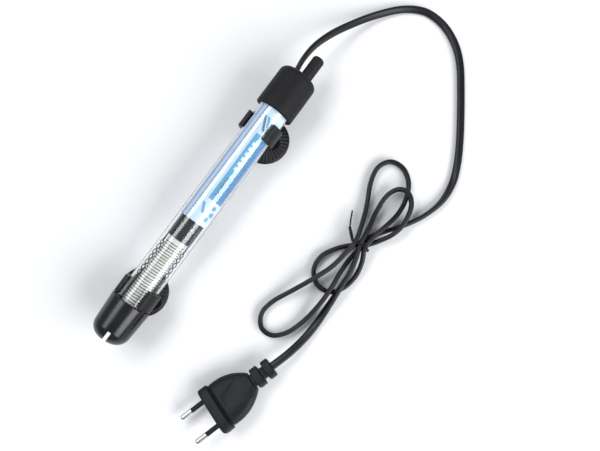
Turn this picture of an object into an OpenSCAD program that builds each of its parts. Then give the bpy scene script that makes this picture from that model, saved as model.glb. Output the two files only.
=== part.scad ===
// Submersible aquarium heater lying on its two suction cups, with its flat mains cord tied in a hank.
// Axis of the heater along +X, from the bottom guard to the knob. The cup rims and the cord lie on z = 0.

/* [Heater] */
// Length from the tip of the bottom guard to the end of the knob
heater_len = 235.5; // [230:0.5:250]
// Height of the tube's axis above the surface
axis_z = 23; // [22.6:0.1:23.4]
// Outer diameter of the glass tube
tube_d = 22; // [21.6:0.1:22.2]
// Wall thickness of the glass tube
tube_wall = 1.2; // [1:0.1:1.3]
// Length of the bottom guard
guard_len = 29; // [28:0.5:30]
// Outer diameter of the bottom guard
guard_d = 28.4; // [27.6:0.2:29]
// Length of the rubber head cap
cap_len = 32.3; // [31:0.1:33]
// Outer diameter of the rubber head cap
cap_d = 28; // [27:0.2:29]
// Length of the knob outside the cap
knob_len = 17; // [14:0.5:18]
// Diameter of the knob
knob_d = 8.6; // [8:0.1:9]

/* [Inside] */
// Diameter of the ceramic former of the element
ceramic_d = 13.2; // [12:0.2:14]
// Pitch of the grooves in the ceramic former
groove_pitch = 1.9; // [1.8:0.05:2.1]
// Outer diameter of each run of coiled heating wire
coil_d = 2.3; // [2:0.1:2.4]
// Diameter of the black insulating stopper above the element
stopper_d = 17.6; // [17:0.2:18]
// Where the label ends, from the guard's tip
label_start = 95.5; // [94:0.5:97]

/* [Clips and cups] */
// Axial length of a clip
clip_len = 12.6; // [12:0.1:13]
// Wall thickness of a clip
clip_wall = 2.6; // [2.2:0.1:2.8]
// Turn of both clips' openings about the tube, from the top
clip_turn = -16; // [-18:1:0]
// How much thinner the guard is towards its tip than at its mouth
guard_taper = 1.2; // [0:0.1:1.3]
// Tilt of the guard's slot about the tube's axis
slot_tilt = 12; // [0:1:20]
// Half angle of a clip's opening at the top
clip_gap = 58; // [54:1:60]
// Centre of the lower clip, from the guard's tip
clip_lower_at = 35.9; // [35.8:0.1:37]
// Centre of the upper clip, from the guard's tip
clip_upper_at = 171.4; // [165:0.1:172]
// Sideways offset of the suction cups from the axis
cup_shift = 2.5; // [2:0.1:3]
// Diameter of a suction cup at its rim
cup_d = 34.4; // [33:0.2:35]

/* [Cord and plug] */
// Width of the flat cord
cord_w = 5.4; // [5:0.1:5.6]
// Thickness of the flat cord
cord_t = 3.4; // [3.2:0.1:3.5]
// Diameter of the plug's pins
pin_d = 4; // [3.9:0.05:4.1]
// Free length of the plug's pins
pin_len = 19; // [18.5:0.5:19.5]
// Distance between the plug's pins
pin_pitch = 18.6; // [18:0.1:19]
// Width of the plug's front bar
plug_w = 33.6; // [33:0.2:35]
// Thickness of the plug's front bar
plug_t = 13; // [12.6:0.2:13.4]

/* [Hidden] */
$fn = 64;

tube_r = tube_d / 2;
tube_in = tube_r - tube_wall;
x0 = -heater_len / 2;
cap_end = heater_len - knob_len;
cap_start = cap_end - cap_len;
// Running fit of turning and sliding parts, and the gap that a push fit keeps
fit = 0.06;
push = 0.02;
// Places along the heater, from the guard's tip
tube_start = 13;
tube_end = cap_start + 14;
element_start = 26;
ceramic_end = 79.3;
stopper_start = 79.5;
label_end = cap_start + 2;
frame_start = 108;
frame_end = 182;
// Hole for the return wire through the former, its disc and the stopper
core_bore = 1.2;
// Offsets of the knob and the cord from the axis
knob_y = -3.6;
cord_y = 4.5;
shaft_r = 2;
label_r = tube_in - 0.15;
contact_x = 158;
blade_pivot = 112;

// Points of an arc about (x, y), from angle a to angle b
function arc(x, y, r, a, b, n = 12) =
    [for (i = [0:n]) let (t = a + (b - a) * i / n) [x + r * cos(t), y + r * sin(t)]];

// Puts children that stand on +Z along the heater, at a distance from the guard's tip
module along(at, y = 0, z = 0) {
    translate([x0 + at, y, axis_z + z]) rotate([0, 90, 0]) children();
}

// A round bar along the heater
module bar(from, to, r, y = 0, z = 0) {
    along(from, y, z) cylinder(h = to - from, r = r);
}

// A block given by its two ends along the heater and its centre and size across
module block(from, to, y, z, w, h) {
    translate([x0 + from, y - w / 2, axis_z + z - h / 2]) cube([to - from, w, h]);
}

module glass_tube() {
    dome = 7;
    inner_dome = 6;
    bottom = 1;
    color("aliceblue", 0.4)
    along(tube_start)
    rotate_extrude()
    polygon(concat(
        [[0, 0]], arc(tube_r - dome, dome, dome, -90, 0), [[tube_r, tube_end - tube_start]],
        [[tube_in, tube_end - tube_start]],
        arc(tube_in - inner_dome, bottom + inner_dome, inner_dome, 0, -90),
        [[0, bottom]]));
}

module head_cap() {
    rim_round = 0.8;
    shoulder = 4.5;
    cavity_r = 9;
    cord_hole = 3;
    color("dimgray")
    difference() {
        along(cap_start)
        rotate_extrude()
        polygon(concat(
            [[0, 0]], arc(cap_d / 2 - rim_round, rim_round, rim_round, -90, 0, 3),
            arc(cap_d / 2 - shoulder, cap_len - shoulder - 1, shoulder, 0, 80), [[0, cap_len]]));
        bar(cap_start - 1, tube_end + push, tube_r + push);
        bar(tube_end - 1, cap_start + 20, cavity_r);
        bar(cap_start, cap_end + 1, shaft_r + fit, knob_y);
        bar(cap_start, cap_end + 1, cord_hole, cord_y);
    }
}

module tube_seal() {
    wire_r = 1.2;
    wire_z = 1.6;
    color("darkslategray")
    difference() {
        bar(cap_start + 4, tube_end, tube_in - push);
        bar(cap_start, tube_end + 1, shaft_r + fit, knob_y);
        for (s = [-1, 1]) bar(cap_start, tube_end + 1, wire_r, cord_y, wire_z * s);
    }
}

module shaft_ring() {
    color("black")
    along(tube_end + 2, knob_y)
    difference() {
        cylinder(h = 2, r = 3.4);
        translate([0, 0, -1]) cylinder(h = 4, r = shaft_r + fit);
    }
}

// The grommet's hole is filled by the cord's end, which starts at its outer face
module cord_gland() {
    color("black")
    along(cap_end - 7, cord_y)
    rotate_extrude()
    polygon([[0, 0], [2.96, 0], [2.96, 6.5], [3.4, 6.5], [3.1, 8], [0, 8]]);
}

module label_sleeve() {
    film = 0.25;
    color("lightsteelblue")
    along(label_start)
    difference() {
        cylinder(h = label_end - label_start, r = label_r);
        translate([0, 0, -1]) cylinder(h = label_end - label_start + 2, r = label_r - film);
    }
}

module element_stopper() {
    length = 22;
    lead_hole = 0.8;
    color("black")
    along(stopper_start)
    difference() {
        cylinder(h = length, r = stopper_d / 2);
        for (s = [-1, 1]) translate([0, 5 * s, -1]) cylinder(h = length + 2, r = lead_hole);
        translate([0, 0, -1]) cylinder(h = length + 2, r = core_bore);
    }
}

// A former with square grooves, one ridge for each turn of the fine winding
module ceramic_core() {
    core_len = ceramic_end - element_start;
    ridge = groove_pitch * 0.55;
    depth = 0.5;
    count = floor((core_len - 2 * groove_pitch) / groove_pitch);
    color("antiquewhite")
    difference() {
        union() {
            bar(element_start, ceramic_end, ceramic_d / 2 - depth);
            for (i = [0:count])
                bar(element_start + i * groove_pitch, element_start + i * groove_pitch + ridge, ceramic_d / 2);
            bar(ceramic_end - 2, ceramic_end, ceramic_d / 2);
            bar(ceramic_end - 1, stopper_start, 4);
        }
        bar(element_start - 1, stopper_start + 1, core_bore);
    }
}

// The fine coil runs down one side of the former and up the other; each run is one rod of its outer size
module heating_coil() {
    side_y = 7.9;
    side_z = 1.7;
    color("dimgray")
    for (s = [-1, 1])
        bar(element_start, stopper_start - 0.05, coil_d / 2, side_y * s, side_z * s);
}

module end_disc() {
    color("antiquewhite")
    difference() {
        bar(element_start - 2.5, element_start - 0.05, tube_in - 0.4);
        bar(element_start - 3, element_start + 1, core_bore);
    }
}

module thermostat_frame() {
    color("whitesmoke")
    difference() {
        union() {
            block(frame_start, frame_end, 0, -4.2, 12, 1.4);
            block(frame_start, frame_start + 4, 0, -2.2, 8, 2.9);
            block(frame_end - 8, frame_end, 3, -0.5, 5, 6.2);
        }
        for (s = [120, 135, 170]) translate([x0 + s, 0, axis_z - 6]) cylinder(h = 4, r = 1.2);
    }
}

module fixed_leaf() {
    color("goldenrod") block(contact_x - 3, frame_end - 1, 3, 2.85, 4, 0.4);
}

module fixed_contact() {
    color("silver") translate([x0 + contact_x, 3, axis_z + 1.8]) cylinder(h = 0.84, r = 1.2);
}

module magnet() {
    color("gray") block(contact_x - 6, contact_x - 2, 3, -2.5, 4, 2);
}

// Two leads from the stopper towards the cord, and the return wire through the middle of the former
module leads() {
    color("firebrick") {
        bar(stopper_start + 22.1, tube_end - 11, 0.7, 5, -6);
        bar(stopper_start + 22.1, tube_end - 11, 0.7, -5, -6);
        bar(element_start - 3, stopper_start + 24, 1.1);
    }
}

// Slotted cup that shields the hot end of the tube; its collar slides on the glass
module end_guard() {
    guard_r = guard_d / 2;
    tip_r = guard_r - guard_taper;
    wall = 1.6;
    dome = 9;
    inner_dome = 7;
    rim_round = 0.6;
    collar = 6;
    slot_len = 8;
    slot_w = 2.4;
    color("black")
    difference() {
        along(0)
        rotate_extrude()
        polygon(concat(
            [[0, 0]], arc(tip_r - dome, dome, dome, -90, 0),
            arc(guard_r - rim_round, guard_len - rim_round, rim_round, 0, 90, 2),
            [[tube_r + fit, guard_len], [tube_r + fit, guard_len - collar]],
            [[guard_r - wall, guard_len - collar - 2]],
            arc(tip_r - wall - inner_dome, wall + inner_dome, inner_dome, 0, -90), [[0, wall]]));
        translate([0, 0, axis_z]) rotate([slot_tilt, 0, 0]) translate([0, 0, -axis_z])
            block(-1, slot_len, 0, 0, slot_w, guard_d + 2);
    }
}

// A spring clip about the tube with a socket below it; turn tilts the ring's opening
module clip(at, shift, turn) {
    ring_r = tube_r + 0.1;
    outer = ring_r + clip_wall;
    reach = 2 * outer;
    lip = 1.5;
    lip_at = outer - 1.2;
    foot_z = 8;
    foot_w = 9.4;
    foot_reach = 10;
    boss_r = 6.2;
    socket_r = 3.5;
    head_room = 4.8;
    end_a = 90 - clip_gap + turn;
    end_b = 90 + clip_gap + turn;
    translate([x0 + at, 0, 0])
    difference() {
        union() {
            translate([-clip_len / 2, 0, axis_z]) rotate([90, 0, 90])
            difference() {
                cylinder(h = clip_len, r = outer);
                translate([0, 0, -1]) linear_extrude(clip_len + 2)
                    polygon([[0, 0], [reach * cos(end_a), reach * sin(end_a)], [0, reach * 2],
                        [reach * cos(end_b), reach * sin(end_b)]]);
            }
            for (a = [end_a, end_b])
                translate([-clip_len / 2, lip_at * cos(a), axis_z + lip_at * sin(a)])
                rotate([0, 90, 0]) cylinder(h = clip_len, r = lip, $fn = 24);
            translate([0, shift, foot_z]) cylinder(h = 5, r = boss_r);
            translate([0, 0, foot_z]) linear_extrude(2) {
                square([foot_w, 2 * foot_reach], center = true);
                for (s = [-1, 1]) translate([0, foot_reach * s]) circle(r = foot_w / 2);
            }
        }
        translate([-20, 0, axis_z]) rotate([0, 90, 0]) cylinder(h = 40, r = ring_r);
        translate([0, shift, foot_z - 1]) cylinder(h = 9, r = socket_r + fit);
        translate([0, shift, foot_z + 2.2]) cylinder(h = 5, r = head_room);
    }
}

// A soft suction cup with ribs on its back and a stem whose head turns in the clip's socket
module cup(at, shift) {
    rim_r = cup_d / 2;
    translate([x0 + at, shift, 0])
    difference() {
        union() {
            rotate_extrude()
            polygon([[0, 2.4], [6, 2.4], [rim_r - 5, 0.9], [rim_r - 1.6, 0], [rim_r, 0], [rim_r, 0.7],
                [rim_r - 1, 1.5], [9, 4.6], [5.4, 6], [4.8, 7.6], [3.5, 7.6], [3.5, 10.3], [4.4, 10.3],
                [4.4, 11.1], [3.4, 11.6], [0, 11.6]]);
            for (i = [0:23])
                rotate([0, 0, i * 15]) translate([7, -0.35, 1.6]) rotate([0, 21, 0]) cube([0.6, 0.7, 2.6]);
        }
        translate([0, 0, 9]) cylinder(h = 4, r = 1.4);
    }
}

module clip_lower() {
    color("black") clip(clip_lower_at, cup_shift, clip_turn);
}

module clip_upper() {
    color("black") clip(clip_upper_at, -cup_shift, clip_turn);
}

module cup_lower() {
    color("black") cup(clip_lower_at, cup_shift);
}

module cup_upper() {
    color("black") cup(clip_upper_at, -cup_shift);
}

// A tall stem with a rounded end, on the shaft
module knob() {
    stand = 0.25;
    color("black")
    difference() {
        along(cap_end + stand, knob_y)
        rotate_extrude()
        polygon(concat([[0, 0], [knob_d / 2, 0]], arc(knob_d / 2 - 1.6, knob_len - stand - 1.6, 1.6, 0, 90),
            [[0, knob_len - stand]]));
        bar(cap_end, cap_end + 10, shaft_r + push, knob_y);
    }
}

module knob_shaft() {
    color("silver") bar(frame_end - 26, cap_end + 9.9, shaft_r, knob_y);
}

// A nut on the shaft's thread, beside the spring leaf that it sets
module adjuster_nut() {
    color("goldenrod")
    difference() {
        block(frame_end - 16, frame_end - 11, knob_y, 0, 6.4, 5.6);
        bar(frame_end - 17, frame_end - 10, shaft_r + fit, knob_y);
    }
}

// A strip clamped at its root, where a rolled eye marks the line that it bends about
module bimetal_blade() {
    blade_eye = 2.8;
    color("peru") {
        block(blade_pivot - 3, contact_x + 2, 3, 0, 4, 0.4);
        block(blade_pivot - 3.4, blade_pivot + 2, 3, 0.4, 5, 0.9);
        translate([x0 + blade_pivot, 3 - blade_eye, axis_z])
            rotate([-90, 0, 0]) cylinder(h = 2 * blade_eye, r = 0.6);
    }
}

module moving_contact() {
    color("silver") translate([x0 + contact_x, 3, axis_z + 0.2]) cylinder(h = 0.9, r = 1.2);
}

// Route of the cord: x, y, z and how far its flat side is turned up on edge, in degrees
route = [
    [101.75, 4.5, 23, 90], [112, 5.5, 23, 85], [125, 5, 20.5, 75], [141, 1.5, 15, 60], [158, -5, 9, 50],
    [175, -14, 4.5, 45], [190, -26, 2.6, 45], [198, -39, 2.4, 40], [199, -51, 2.4, 30], [196, -63, 2.3, 20],
    [189, -75, 2, 8], [179, -85, 1.8, 0], [165, -95, 1.8, 0], [150, -105, 1.8, 0], [134, -115, 1.8, 0],
    [119, -123, 2, 10], [105, -128, 2.4, 35], [90, -129, 2.7, 65], [75, -125, 2.8, 90], [62, -118, 2.8, 90],
    [51, -110, 2.8, 90], [41, -103, 3, 90],
    // under the tie, then round the small loop
    [31, -98, 3.6, 90], [21, -89, 3, 90], [10, -83, 2.8, 90], [-1, -84, 2.8, 90], [-8, -92, 2.8, 90],
    [-7, -102, 2.8, 90], [1, -108, 2.8, 90], [12, -110, 3.6, 90], [22, -108, 6.6, 90],
    // over at the tie, then round the tall loop
    [31, -104, 9.3, 90], [41, -104.5, 9.2, 90], [52, -107, 8.6, 90], [64, -109, 5.2, 90], [76, -108, 2.9, 90],
    [87, -103, 2.8, 90], [93.5, -94, 2.8, 90], [92.5, -84, 2.8, 90], [84, -79, 2.8, 90], [72, -81, 2.8, 90],
    [57, -88, 4.2, 90], [43, -93, 7.4, 90],
    // over at the tie, across the small loop and round the large loop
    [31, -96, 9.3, 90], [20, -95, 9.1, 90], [8, -93, 8.7, 90], [-5, -88, 8.5, 90], [-20, -81, 5.5, 90],
    [-35, -74, 3, 90], [-46, -72.5, 2.8, 90], [-54, -78, 2.8, 90], [-54, -87, 2.8, 90], [-46, -94.5, 2.8, 90],
    [-33, -99, 3.6, 90], [-17, -101, 7.2, 90], [-5, -101, 8.6, 90], [7, -100, 6.8, 90], [19, -100, 3.9, 90],
    // under the tie, then round the short loop
    [31, -102.5, 3.5, 90], [41, -109, 4.6, 90], [51, -114.5, 7.6, 90], [62, -116, 8.7, 90], [74, -113, 8.7, 90],
    [80, -106, 8.5, 90], [78, -99, 6.8, 90], [70, -95.5, 4.4, 90], [57, -96, 4.6, 90], [43, -98.5, 7.8, 90],
    // over at the tie, across the small loop and out to the plug
    [31, -100, 9.3, 90], [20, -103.5, 9.1, 90], [9, -105.5, 8.7, 90], [-3, -106, 8.4, 75], [-15, -106.5, 5.5, 50],
    [-29, -107, 3, 25], [-43, -106, 4.4, 15], [-57, -103, 8.2, 15], [-70, -98.9, 9.8, 15]
];

function unit(v) = v / norm(v);
function place(i) = [route[i][0], route[i][1], route[i][2]];
function heading(i) = unit(place(min(i + 1, len(route) - 1)) - place(max(i - 1, 0)));
// Eight corners of the flat oval: wide way, thin way
oval = [[1, 0.3], [0.62, 1], [-0.62, 1], [-1, 0.3], [-1, -0.3], [-0.62, -1], [0.62, -1], [1, -0.3]];
function ring(i) =
    let (t = heading(i), side = unit(cross([0, 0, 1], t)), up = cross(t, side), a = route[i][3],
        wide = cos(a) * side + sin(a) * up, thin = cross(t, wide))
    [for (p = oval) place(i) + p[0] * cord_w / 2 * wide + p[1] * cord_t / 2 * thin];

module cord() {
    sides = len(oval);
    last = len(route) - 1;
    color("black")
    polyhedron(
        points = [for (i = [0:last]) each ring(i)],
        faces = concat(
            [[for (k = [0:sides - 1]) k]],
            [for (i = [0:last - 1], k = [0:sides - 1])
                [i * sides + k, (i + 1) * sides + k,
                 (i + 1) * sides + (k + 1) % sides, i * sides + (k + 1) % sides]],
            [[for (k = [sides - 1:-1:0]) last * sides + k]]));
}

// The wire tie: a band about the five strands and its twisted tail
module twist_tie() {
    band_w = 1.6;
    color("black") {
        translate([31 - band_w / 2, -100, 6.4])
        rotate([90, 0, 90])
        difference() {
            linear_extrude(band_w) band_outline(0.6);
            translate([0, 0, -1]) linear_extrude(band_w + 2) band_outline(0);
        }
        rod([31, -92.7, 10], [37, -87, 8.8], 1.1);
        rod([36.2, -87.8, 8.9], [48, -82, 5], 0.65);
    }
}

module band_outline(grow) {
    polygon([[-4.4 - grow, -5.8 - grow], [4.8 + grow, -5.8 - grow], [6.2 + grow, -3], [6.4 + grow, 5],
        [5.8 + grow, 6 + grow], [-6.2 - grow, 6 + grow], [-6.6 - grow, 5], [-6.2 - grow, -3]]);
}

// A round rod between two points
module rod(a, b, r) {
    d = b - a;
    translate(a)
    rotate([0, acos(d[2] / norm(d)), atan2(d[1], d[0])])
    cylinder(h = norm(d), r = r, $fn = 24);
}

// The plug lies rolled onto one long corner of its front bar, straight behind the cord's end
plug_roll = 15;
plug_heading = 163;
plug_back = 50;
bar_depth = 7.4;
body_rear = 34;
bar_r = 2;
bar_side = plug_w / 2 - bar_r;
pin_neck = pin_d / 2 - 0.8;

// The plug's own frame: the bar's front face on x = 0, +X out of its pins, +Y across them
module at_plug() {
    translate(place(len(route) - 1))
    rotate([0, 0, plug_heading])
    rotate([plug_roll, 0, 0])
    translate([plug_back, 0, 0])
    children();
}

module plug_body() {
    color("black")
    at_plug()
    difference() {
        union() {
            hull() {
                for (s = [-1, 1])
                    translate([-bar_depth, s * bar_side, 0]) rotate([0, 90, 0])
                    cylinder(h = bar_depth, r = bar_r, $fn = 24);
                translate([-bar_depth, -bar_side + bar_r, -plug_t / 2])
                    cube([bar_depth, 2 * (bar_side - bar_r), plug_t]);
            }
            hull() {
                translate([-14, -bar_side - 0.8, -2.5]) cube([bar_depth, 2 * bar_side + 1.6, 5]);
                translate([-16, -bar_side + 4, -plug_t / 2 + 0.4]) cube([9, 2 * bar_side - 8, plug_t - 0.8]);
                translate([-22, -bar_side + 1.2, -2.5]) cube([1, 2 * bar_side - 2.4, 5]);
                translate([-27, -11.3, -2.5]) cube([1, 22.6, 5]);
                translate([-body_rear, -7.2, -2.5]) cube([1, 14.4, 5]);
                translate([-body_rear, -4.5, -5.2]) cube([1, 9, 10.4]);
            }
        }
        for (s = [-1, 1])
            translate([-12, s * pin_pitch / 2, 0]) rotate([0, 90, 0]) cylinder(h = 13, r = pin_neck + push);
    }
}

// Stepped relief: two collars on a thinner neck
module plug_relief() {
    collars = [[-41.4, 5.6, 7, 4.9], [-49.9, 5.3, 6.6, 4.7]];
    color("black")
    at_plug()
    union() {
        translate([-plug_back, -3.6, -2.9]) cube([plug_back - body_rear, 7.2, 5.8]);
        for (c = collars)
            translate([c[0], -c[2], -c[3]]) cube([c[1], 2 * c[2], 2 * c[3]]);
    }
}

// Necked pins: thinner under the sleeves, full size at their bare ends
module plug_pins() {
    sleeve = 10;
    tip = 1;
    color("silver")
    at_plug()
    for (s = [-1, 1])
        translate([0, s * pin_pitch / 2, 0]) rotate([0, 90, 0]) {
            translate([0, 0, -11.9]) cylinder(h = 11.9 + sleeve, r = pin_neck);
            translate([0, 0, sleeve]) cylinder(h = pin_len - sleeve - tip, r = pin_d / 2);
            translate([0, 0, pin_len - tip]) cylinder(h = tip, r1 = pin_d / 2, r2 = pin_d / 2 - 0.8);
        }
}

module pin_sleeves() {
    color("black")
    at_plug()
    for (s = [-1, 1])
        translate([0.05, s * pin_pitch / 2, 0]) rotate([0, 90, 0])
        difference() {
            cylinder(h = 9.9, r = pin_d / 2 - 0.3);
            translate([0, 0, -1]) cylinder(h = 12, r = pin_neck + push);
        }
}

glass_tube();
head_cap();
tube_seal();
shaft_ring();
cord_gland();
label_sleeve();
element_stopper();
ceramic_core();
heating_coil();
end_disc();
thermostat_frame();
fixed_leaf();
fixed_contact();
magnet();
leads();
end_guard();
clip_lower();
clip_upper();
cup_lower();
cup_upper();
knob();
knob_shaft();
adjuster_nut();
bimetal_blade();
moving_contact();
cord();
twist_tie();
plug_body();
plug_relief();
plug_pins();
pin_sleeves();
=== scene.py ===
"""Looks of a submersible aquarium heater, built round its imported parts.

The heater lies along +X on two suction cups, and its flat cord is tied in a hank.
Sizes in the classes are millimetres; a mesh is put into metres, in the part's own frame, when it is placed.
"""

from __future__ import annotations

import logging
import math
from collections.abc import Iterable
from dataclasses import dataclass, field
from enum import Enum
from functools import reduce

import bmesh
import bpy
import numpy as np
from mathutils import Matrix, Vector


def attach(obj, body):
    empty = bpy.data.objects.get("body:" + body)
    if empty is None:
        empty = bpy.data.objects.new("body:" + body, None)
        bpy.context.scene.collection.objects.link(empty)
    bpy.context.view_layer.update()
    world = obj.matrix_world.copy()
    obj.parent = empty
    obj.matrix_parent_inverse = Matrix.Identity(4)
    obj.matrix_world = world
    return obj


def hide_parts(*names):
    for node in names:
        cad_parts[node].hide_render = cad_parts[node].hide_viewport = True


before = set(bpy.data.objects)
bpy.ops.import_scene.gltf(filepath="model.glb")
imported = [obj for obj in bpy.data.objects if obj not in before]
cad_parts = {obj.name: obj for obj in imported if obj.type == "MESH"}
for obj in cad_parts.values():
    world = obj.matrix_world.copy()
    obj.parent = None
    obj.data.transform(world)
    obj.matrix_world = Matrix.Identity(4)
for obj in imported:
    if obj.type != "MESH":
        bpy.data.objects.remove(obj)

Array = np.ndarray
Pair = tuple[float, float]
Triple = tuple[float, float, float]
Piece = bpy.types.Object
Socket = bpy.types.NodeSocket
Material = bpy.types.Material
MM = 0.001
TAU = 2 * math.pi
TIP_X = -117.75  # the guard's tip along X
AXIS_Z = 23.0
LABEL_START = 95.5
LABEL_LENGTH = 92.7
LABEL_RADIUS = 9.65
MM_PER_DEGREE = 0.168  # on the label
log = logging.getLogger("heater")

# The cord's route: x, y, z in metres and how far its flat side is turned up on edge, in degrees
ROUTE = np.array([
    (0.10175, 0.0045, 0.023, 90), (0.112, 0.0055, 0.023, 85), (0.125, 0.005, 0.0205, 75),
    (0.141, 0.0015, 0.015, 60), (0.158, -0.005, 0.009, 50), (0.175, -0.014, 0.0045, 45),
    (0.19, -0.026, 0.0026, 45), (0.198, -0.039, 0.0024, 40), (0.199, -0.051, 0.0024, 30),
    (0.196, -0.063, 0.0023, 20), (0.189, -0.075, 0.002, 8), (0.179, -0.085, 0.0018, 0),
    (0.165, -0.095, 0.0018, 0), (0.15, -0.105, 0.0018, 0), (0.134, -0.115, 0.0018, 0),
    (0.119, -0.123, 0.002, 10), (0.105, -0.128, 0.0024, 35), (0.09, -0.129, 0.0027, 65),
    (0.075, -0.125, 0.0028, 90), (0.062, -0.118, 0.0028, 90), (0.051, -0.11, 0.0028, 90),
    (0.041, -0.103, 0.003, 90), (0.031, -0.098, 0.0036, 90), (0.021, -0.089, 0.003, 90),
    (0.01, -0.083, 0.0028, 90), (-0.001, -0.084, 0.0028, 90), (-0.008, -0.092, 0.0028, 90),
    (-0.007, -0.102, 0.0028, 90), (0.001, -0.108, 0.0028, 90), (0.012, -0.11, 0.0036, 90),
    (0.022, -0.108, 0.0066, 90), (0.031, -0.104, 0.0093, 90), (0.041, -0.1045, 0.0092, 90),
    (0.052, -0.107, 0.0086, 90), (0.064, -0.109, 0.0052, 90), (0.076, -0.108, 0.0029, 90),
    (0.087, -0.103, 0.0028, 90), (0.0935, -0.094, 0.0028, 90), (0.0925, -0.084, 0.0028, 90),
    (0.084, -0.079, 0.0028, 90), (0.072, -0.081, 0.0028, 90), (0.057, -0.088, 0.0042, 90),
    (0.043, -0.093, 0.0074, 90), (0.031, -0.096, 0.0093, 90), (0.02, -0.095, 0.0091, 90),
    (0.008, -0.093, 0.0087, 90), (-0.005, -0.088, 0.0085, 90), (-0.02, -0.081, 0.0055, 90),
    (-0.035, -0.074, 0.003, 90), (-0.046, -0.0725, 0.0028, 90), (-0.054, -0.078, 0.0028, 90),
    (-0.054, -0.087, 0.0028, 90), (-0.046, -0.0945, 0.0028, 90), (-0.033, -0.099, 0.0036, 90),
    (-0.017, -0.101, 0.0072, 90), (-0.005, -0.101, 0.0086, 90), (0.007, -0.1, 0.0068, 90),
    (0.019, -0.1, 0.0039, 90), (0.031, -0.1025, 0.0035, 90), (0.041, -0.109, 0.0046, 90),
    (0.051, -0.1145, 0.0076, 90), (0.062, -0.116, 0.0087, 90), (0.074, -0.113, 0.0087, 90),
    (0.08, -0.106, 0.0085, 90), (0.078, -0.099, 0.0068, 90), (0.07, -0.0955, 0.0044, 90),
    (0.057, -0.096, 0.0046, 90), (0.043, -0.0985, 0.0078, 90), (0.031, -0.1, 0.0093, 90),
    (0.02, -0.1035, 0.0091, 90), (0.009, -0.1055, 0.0087, 90), (-0.003, -0.106, 0.0084, 75),
    (-0.015, -0.1065, 0.0055, 50), (-0.029, -0.107, 0.003, 25), (-0.043, -0.106, 0.0044, 15),
    (-0.057, -0.103, 0.0082, 15), (-0.07, -0.0989, 0.0098, 15),
])


# ---------------------------------------------------------------- shapes


@dataclass(frozen=True)
class Place:
    """A local frame: a along the piece, b across it, c square to both.

    Attributes:
        origin: Where a, b and c are nought, in millimetres.
        along: Unit direction of a.
        across: Unit direction of b.
    """

    origin: Triple
    along: Triple = (1.0, 0.0, 0.0)
    across: Triple = (0.0, 1.0, 0.0)

    def put(self, local: Array) -> Array:
        """Turn local millimetres into metres in the part's frame.

        Args:
            local: Points, with a, b and c last.

        Returns:
            origin + a along + b across + c (along x across), in metres.
        """
        along, across = np.array(self.along), np.array(self.across)
        basis = np.array([along, across, np.cross(along, across)])
        return (np.array(self.origin) + local @ basis) * MM

    def shifted(self, a: float = 0.0, b: float = 0.0, c: float = 0.0) -> Place:
        """The same directions about another local point."""
        origin = self.put(np.array([a, b, c], float)) / MM
        return Place(tuple(float(v) for v in origin), self.along, self.across)


HEATER = Place((TIP_X, 0.0, AXIS_Z))


@dataclass
class Shell:
    """Points in metres, four-cornered faces, and a UV for each face's corners."""

    points: Array
    faces: Array
    uv: Array

    def __add__(self, other: Shell) -> Shell:
        """Both shells as one, not joined where they meet."""
        return Shell(
            np.concatenate([self.points, other.points]),
            np.concatenate([self.faces, other.faces + len(self.points)]),
            np.concatenate([self.uv, other.uv]),
        )


def grid(points: Array, closed: bool = True, along: Array | None = None) -> Shell:
    """Faces between the neighbours of a surface given as rows of points.

    Args:
        points: Rows by columns by 3.
        closed: Whether the last column joins the first.
        along: The U of each row; even steps from 0 to 1 if it isn't given.

    Returns:
        The shell, with V going round from 0 to 1.
    """
    rows, cols = points.shape[:2]
    steps = cols if closed else cols - 1
    u = np.linspace(0, 1, rows) if along is None else np.asarray(along, float)
    r, c = np.meshgrid(np.arange(rows - 1), np.arange(steps), indexing="ij")
    after = (c + 1) % cols
    faces = np.stack([r * cols + c, r * cols + after, (r + 1) * cols + after, (r + 1) * cols + c], -1)
    v0, v1 = c / steps, (c + 1) / steps
    corners = [np.stack(pair, -1) for pair in ((u[r], v0), (u[r], v1), (u[r + 1], v1), (u[r + 1], v0))]
    return Shell(points.reshape(-1, 3), faces.reshape(-1, 4), np.stack(corners, -2).reshape(-1, 4, 2))


def arc(a: float, r: float, radius: float, start: float, end: float, count: int = 12) -> list[Pair]:
    """Points of a circle about (a, r) from one angle to another, in degrees from the a direction."""
    t = np.radians(np.linspace(start, end, count + 1))
    return list(zip((a + radius * np.cos(t)).tolist(), (r + radius * np.sin(t)).tolist()))


def polar(a: Array, r: Array | float, t: Array) -> Array:
    """Local points at distance a along the axis, radius r and angle t about it: (a, r cos t, r sin t)."""
    return np.stack(np.broadcast_arrays(a, r * np.cos(t), r * np.sin(t)), -1)


def lathe(profile: list[Pair], place: Place, sides: int = 96, along: Array | None = None) -> Shell:
    """Turn a profile round the place's axis: (a, r) goes to (a, r cos t, r sin t) for every angle t.

    Args:
        profile: Pairs of distance along the axis and radius, in order along the outline.
        place: Where the axis is.
        sides: Steps round the axis.
        along: The U of each profile point.

    Returns:
        The turned shell.
    """
    a, r = np.array(profile, float).T
    t = np.linspace(0, TAU, sides, endpoint=False)
    return grid(place.put(polar(a[:, None], r[:, None], t)), along=along)


def oval(half_width: Array | float, half_height: Array | float, power: Array | float, count: int) -> Array:
    """Superellipse sections: |b / width| ** power + |c / height| ** power = 1.

    Args:
        half_width: One number, or one for each section.
        half_height: The same, square to it.
        power: 2 is an ellipse, more is squarer.
        count: Points round a section.

    Returns:
        Sections by points by 2.
    """
    width, height, n = (np.atleast_1d(np.asarray(v, float))[:, None] for v in (half_width, half_height, power))
    t = np.linspace(0, TAU, count, endpoint=False)[None]
    b = width * np.sign(np.cos(t)) * np.abs(np.cos(t)) ** (2 / n)
    c = height * np.sign(np.sin(t)) * np.abs(np.sin(t)) ** (2 / n)
    return np.stack(np.broadcast_arrays(b, c), -1)


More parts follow.
